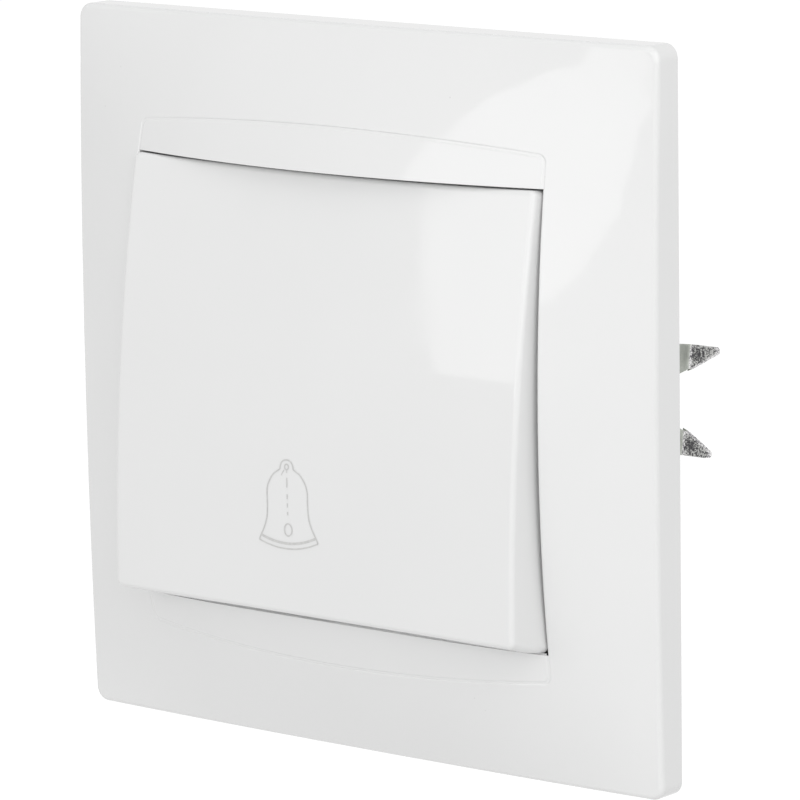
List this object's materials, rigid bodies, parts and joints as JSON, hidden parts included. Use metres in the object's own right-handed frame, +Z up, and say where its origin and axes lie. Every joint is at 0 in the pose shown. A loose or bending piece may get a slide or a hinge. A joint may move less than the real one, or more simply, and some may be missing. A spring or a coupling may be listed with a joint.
{
  "type": "doorbell switch",
  "caption": "Flush wall push button for a doorbell: square pillow-shaped frame around a large tilted rocker with a bell sign, switch body and spreading claws behind.",
  "frame": {"origin": "middle of the wall plane, where the support bridge's back face lies, halfway between the box screws' slots", "axes": "+Z up, -Y out of the wall towards the person who rings, +Y into the wall box, +X to the right seen from the front"},
  "size_m": [0.081, 0.0369, 0.081],
  "materials": {
    "white_cover": "high gloss",
    "white_rocker": "high gloss with a grey printed bell",
    "mechanism_plastic": "matt moulded",
    "cradle_plastic": "matt moulded",
    "zinc_steel": "zinc-plated",
    "spring_steel": "drawn wire",
    "brass_strip": "stamped",
    "contact_silver": "satin contact metal",
    "blade_bronze": "spring bronze"
  },
  "bodies": {
    "base": {"cover_frame": "white_cover", "bezel": "white_cover", "support_bridge": "zinc_steel", "mechanism_housing": "mechanism_plastic", "mechanism_lid": "mechanism_plastic", "lid_screws": "zinc_steel", "bridge_rivets": "zinc_steel", "left_return_spring": "spring_steel", "right_return_spring": "spring_steel", "common_terminal": "brass_strip", "fixed_terminal": "brass_strip", "fixed_contact_tip": "contact_silver", "blade_rivet": "brass_strip", "terminal_clamps": "zinc_steel", "terminal_screws": "brass_strip"},
    "rocker": {"rocker": "white_rocker", "rocker_cradle": "cradle_plastic"},
    "contact_blade": {"contact_blade": "blade_bronze", "moving_contact_tip": "contact_silver"},
    "left_claw": {"left_claw": "zinc_steel", "left_claw_screw": "zinc_steel"},
    "right_claw": {"right_claw": "zinc_steel", "right_claw_screw": "zinc_steel"}
  },
  "joints": [
    {"name": "rocker_press", "type": "hinge", "parent": "base", "child": "rocker", "pos_m": [0, -0.004, 0], "axis": [1, 0, 0], "range_deg": [0, 8], "stiffness_Nm_per_rad": 0.15, "springref_deg": -17.19, "deforming": ["left_return_spring", "right_return_spring"]},
    {"name": "blade_flex", "type": "hinge", "parent": "base", "child": "contact_blade", "pos_m": [0, 0.0048, 0.012], "axis": [1, 0, 0], "range_deg": [0, 4]},
    {"name": "left_claw_spread", "type": "hinge", "parent": "base", "child": "left_claw", "pos_m": [-0.0218, -0.0005, 0.001], "axis": [0, 0.1444, 0.9895], "range_deg": [0, 12]},
    {"name": "right_claw_spread", "type": "hinge", "parent": "base", "child": "right_claw", "pos_m": [0.0218, -0.0005, 0.001], "axis": [0, -0.1444, -0.9895], "range_deg": [0, 12]}
  ],
  "couplings": [
    {"joint": "blade_flex", "follows": "rocker_press", "ratio": 0.4}
  ]
}
